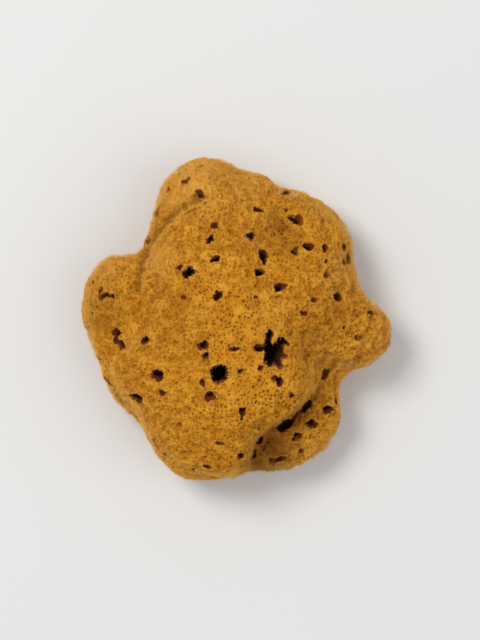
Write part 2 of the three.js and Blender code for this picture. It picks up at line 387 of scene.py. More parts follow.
def beside(spots, line):
    """Each point's distance in millimetres from a line on the plan, positive on the line's left."""
    nearest = np.full(len(spots), 1e9)
    signed = np.zeros(len(spots))
    for (x0, y0), (x1, y1) in zip(line, line[1:]):
        run, rise = x1 - x0, y1 - y0
        dx, dy = spots[:, 0] / MM - x0, spots[:, 1] / MM - y0
        along = np.clip((dx * run + dy * rise) / (run * run + rise * rise), 0, 1)
        away = np.hypot(dx - along * run, dy - along * rise)
        closer = away < nearest
        nearest = np.where(closer, away, nearest)
        signed = np.where(closer, np.sign(run * dy - rise * dx) * away, signed)
    return signed


def fold_share(spots, line, low, high, reach):
    """A band along a fold, steep from low to high, that fades over its reach and tapers at its ends."""
    across = beside(spots, line)
    ends = [np.hypot(spots[:, 0] / MM - x, spots[:, 1] / MM - y) for x, y in (line[0], line[-1])]
    taper = smooth_step(0, 6, np.minimum(*ends))
    return smooth_step(low, high, across) * np.exp(-(across / reach) ** 2) * taper


def fold_down(mesh):
    """Raises the lip of each fold and lowers the skin beside it, and presses the soft hollows in."""
    spots, out = places(mesh), normals(mesh)
    upward = smooth_step(0.05, 0.35, out[:, 2]) * smooth_step(10 * MM, 16 * MM, spots[:, 2])
    shift = np.zeros(len(spots))
    for depth, reach, lift, _, line in FOLDS:
        shift -= depth * fold_share(spots, line, -0.4, 0.5, reach)
        across = beside(spots, line)
        shift += lift * fold_share(spots, line, -3.6, -2.2, 4.0) * (1 - smooth_step(-0.7, 0.3, across))
    for x, y, reach, depth in DENTS:
        shift -= zone_weight(spots, [(x, y, reach, depth)])
    spots[:, 2] += shift * MM * upward
    move_to(mesh, spots)


def plug(mouth, half):
    """A cone that fills an oscule of the solid from just under its rim, so that channels are cut alike."""
    sides, depth = 16, 38
    inward = (HEART - mouth).normalized()
    side = inward.orthogonal().normalized()
    up = inward.cross(side)
    rings = [(0.5, 1.45), (12, 1.3), (24, 1.1), (depth, 0.8)]  # how far in, and how wide
    vertices = [mouth + (inward * away + (side * math.cos(t) + up * math.sin(t)) * half * share) * MM
                for away, share in rings for t in np.arange(sides) * 2 * math.pi / sides]
    vertices += [mouth + inward * 0.3 * MM, mouth + inward * depth * MM]
    faces = []
    for first in range(0, (len(rings) - 1) * sides, sides):
        for k in range(sides):
            a, b = first + k, first + (k + 1) % sides
            faces.append((a, b, b + sides, a + sides))
    last, top, tip = (len(rings) - 1) * sides, len(rings) * sides, len(rings) * sides + 1
    faces += [((k + 1) % sides, k, top) for k in range(sides)]
    faces += [(last + k, last + (k + 1) % sides, tip) for k in range(sides)]
    return vertices, faces


def fill_oscules(form):
    """Fills the oscules that the solid already has."""
    look = BVHTree.FromObject(form, bpy.context.evaluated_depsgraph_get())
    mesh = bpy.data.meshes.new("plugs")
    vertices, faces = [], []
    for x, y, half_a, half_b, _, deep in OSCULES:
        if deep > DEEP:
            half = max(half_a, half_b)
            level = rim_level(look, x, y, half + 1.8, half + 1.8)
            more, sides = plug(Vector((x * MM, y * MM, level)), half)
            faces += [tuple(corner + len(vertices) for corner in side) for side in sides]
            vertices += more
    mesh.from_pydata([tuple(v) for v in vertices], [], faces)
    plugs = new_object("plugs", mesh)
    joined = form.modifiers.new("joined", "BOOLEAN")
    joined.object = plugs
    joined.operation = "UNION"
    joined.solver = "EXACT"
    joined.use_self = True
    settle(form)
    drop(plugs)


def rim_level(look, x, y, reach_x, reach_y):
    """The height of the skin round a place on the plan: the middle one of eight heights on a ring."""
    found = [look.ray_cast(Vector((x + reach_x * math.cos(t), y + reach_y * math.sin(t), ABOVE)) * MM,
                           Vector((0, 0, -1)))[0] for t in np.arange(8) * math.pi / 4]
    return float(np.percentile([spot.z for spot in found if spot is not None], 50))


def grown_form(finish):
    """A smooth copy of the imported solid, with the seam round the crown melted away where it should be."""
    form = new_object("grown_form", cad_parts["sponge"].data.copy())
    weld = form.modifiers.new("weld", "WELD")
    weld.merge_threshold = 0.01 * MM
    settle(form)
    fill_oscules(form)
    remesh(form, FORM_CELL)
    spots = places(form.data)
    off_base = smooth_step(0.5 * MM, 3 * MM, spots[:, 2])
    high = smooth_step(10 * MM, 22 * MM, spots[:, 2])
    relax(form.data, 12, 0.5 * off_base)
    relax(form.data, 90, 0.5 * zone_weight(spots, MELTED) * high)
    fold_down(form.data)
    remesh(form, FORM_CELL)
    off_base = smooth_step(0.5 * MM, 3 * MM, places(form.data)[:, 2])
    relax(form.data, 2, 0.4 * off_base)
    form.data = grow(form, swelling_tree(), {
        "Inset": 0.7 * MM, "Swell": 1.0 * MM, "Swell Size": 7 * MM, "Base Edge": 3 * MM, "Material": finish,
    })
    return form


# ---------------------------------------------------------------- cutters
class Cutters:
    """Closed lumps, gathered as one mesh, that are taken out of the grown form together."""

    def __init__(self, form, seed):
        self.tree = BVHTree.FromObject(form, bpy.context.evaluated_depsgraph_get())
        self.random = np.random.default_rng(seed)
        self.vertices = []
        self.faces = []

    def surface(self, start, way):
        return self.tree.ray_cast(start, way)[0]

    def channel(self, mouth, inward, half_a, half_b, turn, depth, stand=2.0):
        """A tapering, wandering channel with a lumpy section, from outside the mouth to its blind end."""
        sides = 24
        shares = [(-stand, 1.2), (-0.35, 1.1), (0.25, 1.0)]
        shares += [(depth * t, w) for t, w in ((0.2, 0.94), (0.42, 0.86), (0.64, 0.72), (0.84, 0.5))]
        first = len(self.vertices)
        axis = inward.normalized()
        side = axis.orthogonal().normalized()
        if abs(axis.z) > 0.5:
            side = (Vector((1, 0, 0)) - axis * axis.x).normalized()
        up = axis.cross(side)
        uneven = 0.25 if half_a == half_b else 1.0
        lobes = [(k, uneven * self.random.uniform(0.05, 0.3 / k ** 0.5), self.random.uniform(0, ROUND))
                 for k in (2, 3, 5)]
        lobes.append((7, 0.13 * uneven, self.random.uniform(0, ROUND)))
        bend = self.random.uniform(-0.16, 0.16, 2)
        angles = np.arange(sides) * 2 * math.pi / sides
        lean = math.radians(turn)
        for away, share in shares:
            deep = max(away, 0)
            drift = side * bend[0] * deep + up * bend[1] * deep
            centre = mouth + (axis * away + drift) * MM
            for angle in angles:
                lump = 1 + sum(size * math.sin(k * angle + phase + 0.12 * deep) for k, size, phase in lobes)
                a = half_a * share * lump * math.cos(angle)
                b = half_b * share * lump * math.sin(angle)
                across = side * (a * math.cos(lean) - b * math.sin(lean))
                along = up * (a * math.sin(lean) + b * math.cos(lean))
                self.vertices.append(centre + (across + along) * MM)
        end = mouth + (axis * depth + side * bend[0] * depth + up * bend[1] * depth) * MM
        start = mouth - axis * stand * MM
        self.vertices += [end, start]
        for ring in range(len(shares) - 1):
            for k in range(sides):
                a, b = first + ring * sides + k, first + ring * sides + (k + 1) % sides
                self.faces.append((a, b, b + sides, a + sides))
        last = first + (len(shares) - 1) * sides
        tip, top = first + len(shares) * sides, first + len(shares) * sides + 1
        for k in range(sides):
            self.faces.append((last + k, last + (k + 1) % sides, tip))
            self.faces.append((first + (k + 1) % sides, first + k, top))

    def lump(self, centre, halves, turn):
        """A closed egg with a lumpy surface."""
        rings, sides, rough = 8, 14, 0.18
        first = len(self.vertices)
        phases = self.random.uniform(0, ROUND, 4)
        spin = Matrix.Rotation(math.radians(turn), 3, "Z")
        for ring in range(1, rings):
            polar = math.pi * ring / rings
            for k in range(sides):
                angle = 2 * math.pi * k / sides
                lump = 1 + rough * math.sin(2 * angle + phases[0] + polar) * math.sin(3 * polar + phases[1])
                lump += rough * math.sin(5 * angle + phases[2]) * 0.6
                spot = Vector((math.sin(polar) * math.cos(angle) * halves[0],
                               math.sin(polar) * math.sin(angle) * halves[1],
                               math.cos(polar) * halves[2])) * lump
                self.vertices.append(centre + spin @ spot * MM)
        pole = Vector((0, 0, halves[2])) * MM
        self.vertices += [centre + pole, centre - pole]
        for ring in range(rings - 2):
            for k in range(sides):
                a, b = first + ring * sides + k, first + ring * sides + (k + 1) % sides
                self.faces.append((a, a + sides, b + sides, b))
        top, bottom = first + (rings - 1) * sides, first + (rings - 1) * sides + 1
        last = first + (rings - 2) * sides
        for k in range(sides):
            self.faces.append((first + k, first + (k + 1) % sides, top))
            self.faces.append((last + (k + 1) % sides, last + k, bottom))

    def made(self):
        mesh = bpy.data.meshes.new("cutters")
        mesh.from_pydata([tuple(v) for v in self.vertices], [], self.faces)
        return new_object("cutters", mesh)


def oscules_from_above(cutters):
    for x, y, half_a, half_b, turn, depth in OSCULES:
        level = rim_level(cutters.tree, x, y, half_a + 1.5, half_b + 1.5)
        mouth = Vector((x * MM, y * MM, level))
        cutters.channel(mouth, HEART - mouth, half_a, half_b, turn, depth)


def pockets(cutters):
    for x, y, z, along, across, high, turn in POCKETS:
        cutters.lump(Vector((x, y, z)) * MM, (along, across, high), turn)


def side_mouth(cutters, degrees, height):
    """Where the skin lies in a direction at a height, and the way out from there."""
    way = Vector((math.cos(math.radians(degrees)), math.sin(math.radians(degrees)), 0))
    start = way * ABOVE * MM + Vector((0, 0, height * MM))
    return cutters.surface(start, -way), way


def bites(cutters):
    for degrees, height, across, high in BITES:
        spot, way = side_mouth(cutters, degrees, height)
        cutters.lump(spot + way * 0.4 * across * MM, (1.7 * across, across, high), degrees)


def side_oscules(cutters):
    for degrees, height, half, depth in SIDE_OSCULES:
        spot, way = side_mouth(cutters, degrees, height)
        inward = -way + Vector((0, 0, cutters.random.uniform(-0.2, 0.25)))
        cutters.channel(spot, inward, half, half * cutters.random.uniform(0.7, 1.2), 0, depth)


def small_side_oscules(cutters, count=60):
    """As many small oscules over the sides as there are on top."""
    for _ in range(count):
        degrees, height = cutters.random.uniform(0, 360), cutters.random.uniform(5, 22)
        spot, way = side_mouth(cutters, degrees, height)
        if spot is None:
            continue
        half = cutters.random.uniform(0.75, 1.7)
        inward = -way + Vector((0, 0, cutters.random.uniform(-0.4, 0.2)))
        cutters.channel(spot, inward, half, half * cutters.random.uniform(0.6, 1.3), 0, 1 + 2.6 * half)


def base_channels(cutters, count=80):
    """The cut base shows the water channels of every size that the cut went through."""
    for _ in range(count):
        x, y = cutters.random.uniform(-60, 60), cutters.random.uniform(-63, 63)
        spot = cutters.surface(Vector((x, y, -50)) * MM, Vector((0, 0, 1)))
        if spot is None or spot.z > 0.5 * MM:
            continue
        half = 0.6 + 1.9 * cutters.random.uniform() ** 2.5
        inward = Vector((cutters.random.uniform(-0.4, 0.4), cutters.random.uniform(-0.4, 0.4), 1))
        cutters.channel(spot, inward, half, half * cutters.random.uniform(0.6, 1.1),
                        cutters.random.uniform(0, 180), 2.5 + 3 * half)


def ragged_tree():
    """Roughens the lumps that are cut out, so that the mouths have torn, starry edges."""
    tree, given = open_tree("ragged", ("Size", "Depth"))
    spot = node(tree, "GeometryNodeInputPosition").outputs[0]
    out = node(tree, "GeometryNodeInputNormal").outputs[0]
    relief = noise(tree, spot, maths(tree, "DIVIDE", 1.0, given["Size"]), 1.0, variant=9.0)[0]
    push = maths(tree, "MULTIPLY", ramped(tree, relief, 0.34, 0.66, -1.0, 1.0), given["Depth"])
    moved = shifted(tree, given["Geometry"], vectors(tree, "SCALE", out, push))
    return close_tree(tree, moved, given["Material"])


def carved(form, finish):
    """A copy of the grown form with its oscules, pockets, bites and base channels cut."""
    cutters = Cutters(form, SEED)
    oscules_from_above(cutters)
    pockets(cutters)
    bites(cutters)
    side_oscules(cutters)
    base_channels(cutters)
    small_side_oscules(cutters)
    lumps = remesh(cutters.made(), CUTTER_CELL)
    lumps.data = grow(lumps, ragged_tree(), {"Size": 1.8 * MM, "Depth": 0.45 * MM, "Material": finish})
    remesh(lumps, CUTTER_CELL)
    body = new_object("sponge_body", form.data.copy())
    cut = body.modifiers.new("cut", "BOOLEAN")
    cut.object = lumps
    cut.operation = "DIFFERENCE"
    cut.solver = "MANIFOLD"
    settle(body)
    drop(lumps)
    return remesh(body, BODY_CELL)


# ---------------------------------------------------------------- the pores
def hollows_tree(skin):
    """Stores how deep each point lies under the uncut skin, which way that skin faces, and how thick the wall
    behind the point is."""
    tree, given = open_tree("hollows", ("Reach",))
    spot = node(tree, "GeometryNodeInputPosition").outputs[0]
    out = node(tree, "GeometryNodeInputNormal").outputs[0]
    whole = node(tree, "GeometryNodeObjectInfo", {"Object": skin}).outputs["Geometry"]
    sunk = node(tree, "GeometryNodeProximity", {0: whole}, target_element="FACES").outputs["Distance"]
    kept = stored(tree, given["Geometry"], "sunk", sunk)
    faced = node(tree, "GeometryNodeSampleNearestSurface", {
        "Mesh": whole, "Value": out,
    }, data_type="FLOAT_VECTOR").outputs["Value"]
    kept = stored(tree, kept, "skin_out", faced, "FLOAT_VECTOR")
    inward = vectors(tree, "SCALE", out, -1.0)
    through = node(tree, "GeometryNodeRaycast", {
        "Target Geometry": given["Geometry"], "Ray Direction": inward, "Ray Length": given["Reach"],
        "Source Position": vectors(tree, "ADD", spot, vectors(tree, "SCALE", out, -0.05 * MM)),
    })
    wall = node(tree, "GeometryNodeSwitch", {
        "Switch": through.outputs["Is Hit"], "False": given["Reach"], "True": through.outputs["Hit Distance"],
    }, input_type="FLOAT").outputs[0]
    kept = stored(tree, kept, "wall", wall)
    return close_tree(tree, kept, given["Material"])


def pores(tree, spot, pitch, wall, warp):
    """The mesh of pores: each cell of an uneven lattice is a pore, 1 in its middle and 0 on its walls.

    The same nodes work in a geometry tree, for the pits, and in a shader tree, for their colour."""
    stir = noise(tree, spot, WAVES["warp"], 1.0, variant=float(SEED))["Color"]
    stir = vectors(tree, "SCALE", vectors(tree, "SUBTRACT", stir, (0.5, 0.5, 0.5)), warp)
    place = vectors(tree, "ADD", spot, stir)
    scale = maths(tree, "DIVIDE", 1.0, pitch)
    cell = {"Vector": place, "Scale": scale, "Randomness": 0.9}
    edge = node(tree, "ShaderNodeTexVoronoi", cell, voronoi_dimensions="3D",
                feature="DISTANCE_TO_EDGE").outputs[0]
    middle = node(tree, "ShaderNodeTexVoronoi", cell, voronoi_dimensions="3D", feature="F1").outputs
    dice = node(tree, "ShaderNodeSeparateXYZ", {0: middle["Color"]}).outputs
    rounded = ramped(tree, middle["Distance"], 0.66, 0.36)
    edge = maths(tree, "MULTIPLY", edge, pitch)
    width = maths(tree, "MULTIPLY", wall, ramped(tree, dice[0], 0.0, 1.0, 0.7, 1.35, "LINEAR"))
    inside = ramped(tree, edge, width, maths(tree, "ADD", maths(tree, "MULTIPLY", width, 1.25), 0.22 * MM))
    inside = maths(tree, "MULTIPLY", inside, rounded)
    return maths(tree, "MULTIPLY", inside, ramped(tree, dice[1], 0.0, 0.6, 0.45, 1.0, "LINEAR"))


def gaps(tree, spot, clear):
    """The gaps between woolly tufts, 1 in a gap and 0 on a tuft. They are weak under pale fuzz and on clear
    pores.
    """
    wool = noise(tree, spot, WAVES["gaps"], 3.0, variant=5.0)[0]
    open_share = ramped(tree, clear, 0.3, 0.9, 1.0, 0.2)
    share = maths(tree, "MULTIPLY", open_share, ramped(tree, clear, 0.0, 0.3, 0.4, 1.0))
    return maths(tree, "MULTIPLY", ramped(tree, wool, 0.51, 0.64), share)


def clumps(tree, spot):
    """The hollows between the broad soft clumps: 1 in a hollow and 0 on a clump."""
    return ramped(tree, noise(tree, spot, WAVES["clumps"], 2.0, variant=7.0)[0], 0.42, 0.64)


def vents(tree, spot, pitch, radius, share):
    """Scattered wider pores, of which only some cells have one: 1 in the middle and 0 outside."""
    cells = node(tree, "ShaderNodeTexVoronoi", {
        "Vector": spot, "Scale": maths(tree, "DIVIDE", 1.0, pitch), "Randomness": 1.0,
    }, voronoi_dimensions="3D", feature="F1")
    dice = node(tree, "ShaderNodeSeparateXYZ", {0: cells.outputs["Color"]}).outputs
    away = maths(tree, "MULTIPLY", cells.outputs["Distance"], pitch)
    size = maths(tree, "MULTIPLY", radius, ramped(tree, dice[0], 0.0, 1.0, 0.65, 1.1, "LINEAR"))
    inside = ramped(tree, away, size, maths(tree, "MULTIPLY", size, 0.42))
    return maths(tree, "MULTIPLY", inside, maths(tree, "LESS_THAN", dice[1], share))


def pore_tree():
    """Opens the pores in the surface, and stores how deep in a pore each point lies."""
    tree, given = open_tree("pores", (
        "Pore Pitch", "Pore Wall", "Pore Depth", "Vent Pitch", "Vent Radius", "Vent Depth", "Vent Share",
        "Warp", "Tuft", "Clump",
    ))
    kept = given["Geometry"]
    for label, kind in (("way_out", "GeometryNodeInputNormal"), ("grown_spot", "GeometryNodeInputPosition")):
        kept = stored(tree, kept, label, node(tree, kind).outputs[0], "FLOAT_VECTOR")
    spot, out = named(tree, "grown_spot", "FLOAT_VECTOR"), named(tree, "way_out", "FLOAT_VECTOR")
    # the lower sides have patches where the pores stand open, as the top has
    patch = ramped(tree, noise(tree, spot, WAVES["patches"], 1.0, variant=3.0)[0], 0.42, 0.56)
    patch = maths(tree, "MULTIPLY", patch, ramped(tree, part_of(tree, out, "Z"), 0.6, 0.2, 0.0, 0.8))
    clear = maths(tree, "ADD", named(tree, "clear"), patch, clamp=True)
    main = maths(tree, "MULTIPLY", pores(tree, spot, given["Pore Pitch"], given["Pore Wall"], given["Warp"]),
                 ramped(tree, clear, 0.0, 1.0, 0.3, 1.0, "LINEAR"))
    wide = vents(tree, spot, given["Vent Pitch"], given["Vent Radius"], given["Vent Share"])
    wide = maths(tree, "MULTIPLY", wide, ramped(tree, clear, 0.0, 0.5, 0.1, 1.0, "LINEAR"))
    depth = maths(tree, "MAXIMUM", maths(tree, "MULTIPLY", main, given["Pore Depth"]),
                  maths(tree, "MULTIPLY", wide, given["Vent Depth"]))
    gap = gaps(tree, spot, clear)
    depth = maths(tree, "ADD", depth, maths(tree, "MULTIPLY", gap, given["Tuft"]))
    dips = maths(tree, "MULTIPLY", clumps(tree, spot), given["Clump"])
    dips = maths(tree, "MULTIPLY", dips, ramped(tree, clear, 0.0, 1.0, 1.0, 0.4))
    depth = maths(tree, "ADD", depth, dips)
    # pores are shallower on the cut face and inside channels, and never go through a thin wall
    flat = maths(tree, "SUBTRACT", 1.0, maths(tree, "MULTIPLY", named(tree, "cut_face"), 0.3))
    depth = maths(tree, "MULTIPLY", depth, flat)
    depth = maths(tree, "MULTIPLY", depth, ramped(tree, named(tree, "sunk"), 0.4 * MM, 2.5 * MM, 1.0, 0.4))
    depth = maths(tree, "MINIMUM", depth, maths(tree, "MULTIPLY", named(tree, "wall"), 0.3))
    moved = shifted(tree, kept, vectors(tree, "SCALE", out, maths(tree, "MULTIPLY", depth, -1.0)))
    # the stored values read the kept places and not the moved ones
    moved = stored(tree, moved, "in_pore", maths(tree, "MAXIMUM", main, wide))
    moved = stored(tree, moved, "gap", gap)
    return close_tree(tree, stored(tree, moved, "clear", clear), given["Material"])


def give_finishes(mesh, finish, hollow):
    """The faces inside channels and pockets take the second finish, and all others the first."""
    sunk = values_of(mesh, "sunk")
    corners = np.empty(len(mesh.loops), np.int32)
    mesh.loops.foreach_get("vertex_index", corners)
    starts = np.empty(len(mesh.polygons), np.int32)
    mesh.polygons.foreach_get("loop_start", starts)
    inside = np.minimum.reduceat(sunk[corners], starts) > 1.2 * MM
    mesh.materials.clear()
    mesh.materials.append(finish)
    mesh.materials.append(hollow)
    mesh.polygons.foreach_set("material_index", inside.astype(np.int32))


def set_zones(mesh, spots, out):
    """Stores how clear, cut, stained, sheltered and covered in pale fuzz the skin is at each point. The
    browning also holds painted shade in dents, dips and at the foot of each fold, and the paleness a painted
    highlight on each fold's lip and a painted sheen on the steep sides.
    """
    steep = smooth_step(0.3, 0.9, 1 - out[:, 2])
    down_and_lip_light = zone_weight(spots, DOWNY) * smooth_step(-0.3, 0.3, out[:, 2])
    crisp = zone_weight(spots, CRISP) * (1 - 0.5 * steep)
    clear = np.clip(0.34 + 0.66 * crisp - 0.34 * down_and_lip_light - 0.1 * steep, 0, 1)
    clear = np.where(out[:, 2] < -0.5, 0.85, clear)
    set_values(mesh, "clear", clear)
    set_values(mesh, "cut_face", 1 - smooth_step(0.05 * MM, 1.5 * MM, spots[:, 2]))
    stain_and_shade = zone_weight(spots, STAINS_AND_SHADE)
    sheltered = np.zeros(len(spots))
    for _, _, _, brown, line in FOLDS:
        sheltered = np.maximum(sheltered, np.exp(-(beside(spots, line) / 5) ** 4))
        # painted shade: the foot of each fold is browned
        stain_and_shade = np.maximum(stain_and_shade, brown * fold_share(spots, line, -0.5, 0.3, 2.2))
        # painted highlight, together with the pale fuzz of the lip, on each fold's lip
        down_and_lip_light = np.maximum(down_and_lip_light, 0.45 * fold_share(spots, line, -2.6, -1.0, 2.5) * (beside(spots, line) < 0))
    set_values(mesh, "stain_and_shade", stain_and_shade * smooth_step(0, 0.4, out[:, 2] + 0.2))
    set_values(mesh, "sheltered", sheltered)
    # painted sheen: the steep sides round the widest line are paled, less near the folds
    rim = steep * smooth_step(8 * MM, 22 * MM, spots[:, 2]) * (1 - 0.7 * sheltered)
    set_values(mesh, "down_and_sheen", np.maximum(down_and_lip_light, 0.9 * rim))


def sponge_body(finish, hollow):
    """The whole sponge without its fibres, as one closed mesh."""
    form = grown_form(finish)
    body = carved(form, finish)
    mesh = body.data
    relax(mesh, 2, 0.4 * smooth_step(FLAT_BASE * MM, 1.2 * MM, places(mesh)[:, 2]))
    spots, out = places(mesh), normals(mesh)
    spots[spots[:, 2] < FLAT_BASE * MM, 2] = 0
    move_to(mesh, spots)
    set_zones(mesh, spots, out)
    body.data = grow(body, hollows_tree(form), {"Reach": 30 * MM, "Material": finish})
    drop(form)
    body.data = grow(body, pore_tree(), {
        "Pore Pitch": PORE_PITCH * MM, "Pore Wall": PORE_WALL * MM, "Pore Depth": 1.0 * MM,
        "Vent Pitch": 6.5 * MM, "Vent Radius": 1.1 * MM, "Vent Depth": 1.8 * MM, "Vent Share": 0.35,
        "Warp": PORE_WARP * MM, "Tuft": 0.6 * MM, "Clump": 1.3 * MM, "Material": finish,
    })
    thin_out(body)
    drop_crumbs(body.data)
    spots = places(body.data)
    spots[:, 2] = np.maximum(spots[:, 2], 0)
    move_to(body.data, spots)
    give_finishes(body.data, finish, hollow)
    for face in body.data.polygons:
        face.use_smooth = True
    return body


def drop_crumbs(mesh):
    """Keeps only the largest joined part of a mesh."""
    a, b = edge_ends(mesh)
    part = np.arange(len(mesh.vertices))
    while True:
        least = np.minimum(part[a], part[b])
        joined = part.copy()
        np.minimum.at(joined, a, least)
        np.minimum.at(joined, b, least)
        joined = joined[joined]
        if (joined == part).all():
            break
        part = joined
    crumbs = np.flatnonzero(part != np.bincount(part).argmax())
    shape = bmesh.new()
    shape.from_mesh(mesh)
    shape.verts.ensure_lookup_table()
    bmesh.ops.delete(shape, geom=[shape.verts[spot] for spot in crumbs.tolist()], context="VERTS")
    shape.to_mesh(mesh)
    shape.free()


def thin_out(body):
    """Brings the body under its triangle count. Most are taken from the base and from inside the channels."""
    mesh = body.data
    facing_down = 1 - smooth_step(-0.9, 0.1, normals(mesh)[:, 2])
    hidden = np.maximum(facing_down, smooth_step(3 * MM, 9 * MM, values_of(mesh, "sunk")))
    group = body.vertex_groups.new(name="thin")
    levels = 5
    for level in range(levels):
        chosen = np.flatnonzero(np.round(hidden * (levels - 1)) == level)
        group.add(chosen.tolist(), 0.35 + 0.16 * level, "REPLACE")
    thin = body.modifiers.new("thin", "DECIMATE")
    thin.ratio = BODY_TRIANGLES / (2 * len(mesh.polygons))
    thin.vertex_group = "thin"
    settle(body)
    body.vertex_groups.clear()


# ---------------------------------------------------------------- the fibres
def fibre_mesh():
    """One fibre, a slender closed spike of unit length with its root at the origin."""
    half = 0.045  # half the width of the root
    ring = [(half * math.cos(t), half * math.sin(t), 0) for t in (0, 2 * math.pi / 3, 4 * math.pi / 3)]
    mesh = bpy.data.meshes.new("fibre")
    mesh.from_pydata(ring + [(0.06, 0.02, 1)], [], [(2, 1, 0), (0, 1, 3), (1, 2, 3), (2, 0, 3)])
    return new_object("fibre", mesh)


def chance(tree, low, high, seed):
    """A number drawn between two others for each fibre."""
    made = node(tree, "FunctionNodeRandomValue", {2: low, 3: high, "Seed": seed}, data_type="FLOAT")
    return made.outputs[1]


def fibre_tree(fibre):
    """Fibres scattered over the walls between the pores, standing out from the surface at a slant."""
    tree, given = open_tree("fibres", ("Density", "Length", "Slant", "Root", "Low", "High"), ("Seed",))
    spot = node(tree, "GeometryNodeInputPosition").outputs[0]
    out = named(tree, "way_out", "FLOAT_VECTOR")
    rise = part_of(tree, out, "Z")
    clear = named(tree, "clear")
    # the coat's own band of steepness, on pore walls, outside channels, off the floor and on tufts
    density = given["Density"]
    for share in (
        maths(tree, "GREATER_THAN", rise, given["Low"]),
        maths(tree, "SUBTRACT", 1.0, maths(tree, "GREATER_THAN", rise, given["High"])),
        ramped(tree, named(tree, "in_pore"), 0.1, 0.5, 1.0, 0.0),
        ramped(tree, named(tree, "sunk"), 0.4 * MM, 1.0 * MM, 1.0, 0.0),
        ramped(tree, part_of(tree, spot, "Z"), 2.4 * MM, 4.5 * MM),
        ramped(tree, clear, 0.0, 1.0, 1.5, 0.3),
        ramped(tree, named(tree, "gap"), 0.1, 0.8, 1.2, 0.12),
    ):
        density = maths(tree, "MULTIPLY", density, share)
    points = node(tree, "GeometryNodeDistributePointsOnFaces", {
        "Mesh": given["Geometry"], "Density": density, "Seed": given["Seed"],
    }, distribute_method="RANDOM")
    tilt = node(tree, "FunctionNodeRandomValue", {
        "Min": (-1.0, -1.0, -1.0), "Max": (1.0, 1.0, 1.0), "Seed": given["Seed"],
    }, data_type="FLOAT_VECTOR").outputs[0]
    comb = noise(tree, spot, WAVES["comb"], 1.0)["Color"]
    comb = vectors(tree, "SCALE", vectors(tree, "SUBTRACT", comb, (0.5, 0.5, 0.5)), 2.4)
    way = vectors(tree, "ADD", out, vectors(tree, "SCALE", vectors(tree, "ADD", tilt, comb), given["Slant"]))
    way = vectors(tree, "NORMALIZE", way)
    turn = node(tree, "FunctionNodeAlignRotationToVector", {"Vector": way}, axis="Z").outputs[0]
    spin = chance(tree, 0.0, 6.283, given["Seed"])
    spun = node(tree, "FunctionNodeAxisAngleToRotation", {"Angle": spin}).outputs[0]
    turn = node(tree, "FunctionNodeRotateRotation", {0: turn, 1: spun}, rotation_space="LOCAL").outputs[0]
    length = chance(tree, 0.55, 1.25, maths(tree, "ADD", given["Seed"], 7.0))
    length = maths(tree, "MULTIPLY", length, given["Length"])
    length = maths(tree, "MULTIPLY", length, ramped(tree, clear, 0.0, 1.0, 1.15, 0.6))
    inward = vectors(tree, "SCALE", way, maths(tree, "MULTIPLY", given["Root"], -1.0))
    rooted = shifted(tree, points.outputs["Points"], inward)
    tone = chance(tree, 0.0, 1.0, maths(tree, "ADD", given["Seed"], 3.0))
    rooted = stored(tree, rooted, "fibre_tone", tone)
    whole = maths(tree, "ADD", length, given["Root"])
    spread = node(tree, "GeometryNodeInstanceOnPoints", {
        "Points": rooted, "Rotation": turn,
        "Instance": node(tree, "GeometryNodeObjectInfo", {"Object": fibre}).outputs["Geometry"],
        "Scale": node(tree, "ShaderNodeCombineXYZ", {0: whole, 1: whole, 2: whole}).outputs[0],
    }).outputs[0]
    return close_tree(tree, spread, given["Material"])


def fibre_pieces(body, gold, straw):
    """Four coats of fibres by how steep the skin is: short and golden on top, long and pale on the sides,
    their paleness partly a painted sheen.
    """
    fibre = fibre_mesh()
    tree = fibre_tree(fibre)
    pieces = []
    # name, seed, fibres to the square millimetre, length, slant, least and greatest rise of the skin, finish
    for label, seed, density, length, slant, low, high, finish in (
        ("fibres_of_the_top", 5, 3.6, 0.95, 0.5, 0.7, 2.0, gold),
        ("fibres_of_the_shoulders", 6, 4.0, 1.1, 0.5, 0.35, 0.7, gold),
        ("fibres_of_the_sides", 7, 4.4, 1.25, 0.4, -0.25, 0.35, straw),
        ("fibres_under_the_sides", 8, 3.0, 1.1, 0.5, -0.97, -0.25, gold),
    ):
        mesh = grow(body, tree, {
            "Density": density * 1e6, "Length": length * MM, "Slant": slant, "Root": 0.25 * MM, "Seed": seed,
            "Low": low, "High": high, "Material": finish,
        })
        mesh.materials.clear()
        mesh.materials.append(finish)
        mesh.polygons.foreach_set("material_index", np.zeros(len(mesh.polygons), np.int32))
        pieces.append(new_object(label, mesh))
    drop(fibre)
    return pieces


